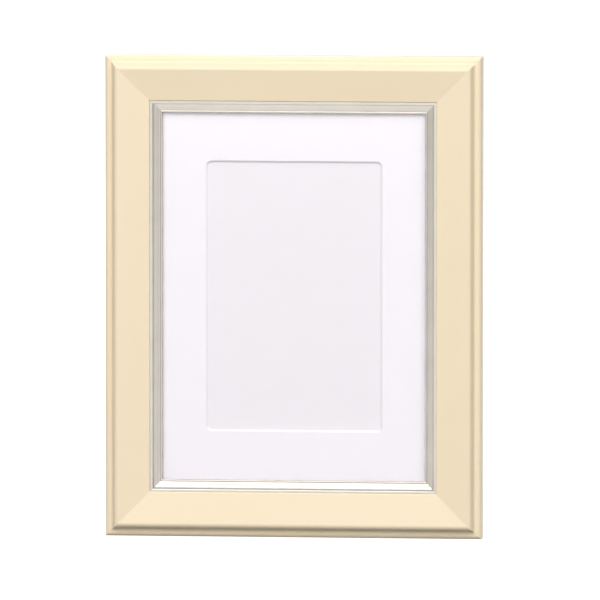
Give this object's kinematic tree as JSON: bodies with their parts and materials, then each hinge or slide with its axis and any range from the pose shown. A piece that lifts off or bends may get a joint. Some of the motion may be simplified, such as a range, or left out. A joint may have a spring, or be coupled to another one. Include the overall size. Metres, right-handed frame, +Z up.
{
  "type": "postcard frame",
  "caption": "Upright picture frame for a postcard: mitred cream moulding, silver slip, glass, bevelled mat, and a back with a hinged strut, turn buttons and ring hangers.",
  "frame": {"origin": "on the underside of the bottom rail, at the middle of its length and of the moulding's depth", "axes": "+Z up, -Y towards the viewer (the picture side), +X to the right as the picture is seen"},
  "size_m": [0.192, 0.02, 0.245],
  "materials": {
    "cream_lacquer": "satin cream lacquer over wood",
    "silver_leaf": "burnished silver leaf over wood",
    "clear_glass": "clear sheet glass",
    "mat_board": "white surface paper on a white core",
    "card": "uncoated white card",
    "fibreboard": "brown fibreboard",
    "plated_steel": "nickel-plated",
    "brassed_steel": "brass-plated"
  },
  "bodies": {
    "frame": {"rail_top": "cream_lacquer", "rail_bottom": "cream_lacquer", "rail_left": "cream_lacquer", "rail_right": "cream_lacquer", "corner_nail_bottom_left": "plated_steel", "corner_nail_top_left": "plated_steel", "corner_nail_top_right": "plated_steel", "corner_nail_bottom_right": "plated_steel", "slip_bottom": "silver_leaf", "slip_top": "silver_leaf", "slip_left": "silver_leaf", "slip_right": "silver_leaf", "glazing": "clear_glass", "mat_board": "mat_board", "postcard_blank": "card", "back_panel": "fibreboard", "turn_screw_left_upper": "plated_steel", "turn_screw_left_lower": "plated_steel", "turn_screw_right_upper": "plated_steel", "turn_screw_right_lower": "plated_steel", "hinge_leaf_fixed": "plated_steel", "hinge_pin": "plated_steel", "rivet_panel_left": "plated_steel", "rivet_panel_right": "plated_steel", "hanger_strap_top": "plated_steel", "hanger_screw_top": "plated_steel", "hanger_strap_side": "plated_steel", "hanger_screw_side": "plated_steel"},
    "strut": {"strut": "fibreboard", "hinge_leaf_strut": "plated_steel", "rivet_strut_left": "plated_steel", "rivet_strut_right": "plated_steel"},
    "turn_button_left_upper": {"turn_button_left_upper": "brassed_steel"},
    "turn_button_left_lower": {"turn_button_left_lower": "brassed_steel"},
    "turn_button_right_upper": {"turn_button_right_upper": "brassed_steel"},
    "turn_button_right_lower": {"turn_button_right_lower": "brassed_steel"},
    "hanger_ring_top": {"hanger_ring_top": "plated_steel"},
    "hanger_ring_side": {"hanger_ring_side": "plated_steel"}
  },
  "joints": [
    {"name": "strut_hinge", "type": "hinge", "parent": "frame", "child": "strut", "pos_m": [0, 0.0095, 0.15], "axis": [1, 0, 0], "range_deg": [0, 26]},
    {"name": "turn_left_upper", "type": "hinge", "parent": "frame", "child": "turn_button_left_upper", "pos_m": [-0.087, 0.0081, 0.1845], "axis": [0, 1, 0], "continuous": true},
    {"name": "turn_left_lower", "type": "hinge", "parent": "frame", "child": "turn_button_left_lower", "pos_m": [-0.087, 0.0081, 0.0605], "axis": [0, 1, 0], "continuous": true},
    {"name": "turn_right_upper", "type": "hinge", "parent": "frame", "child": "turn_button_right_upper", "pos_m": [0.087, 0.0081, 0.1845], "axis": [0, 1, 0], "continuous": true},
    {"name": "turn_right_lower", "type": "hinge", "parent": "frame", "child": "turn_button_right_lower", "pos_m": [0.087, 0.0081, 0.0605], "axis": [0, 1, 0], "continuous": true},
    {"name": "ring_top_swing", "type": "hinge", "parent": "frame", "child": "hanger_ring_top", "pos_m": [0, 0.00965, 0.2295], "axis": [1, 0, 0], "range_deg": [0, 180]},
    {"name": "ring_side_swing", "type": "hinge", "parent": "frame", "child": "hanger_ring_side", "pos_m": [0.0805, 0.00965, 0.1225], "axis": [0, 0, -1], "range_deg": [0, 180]}
  ]
}
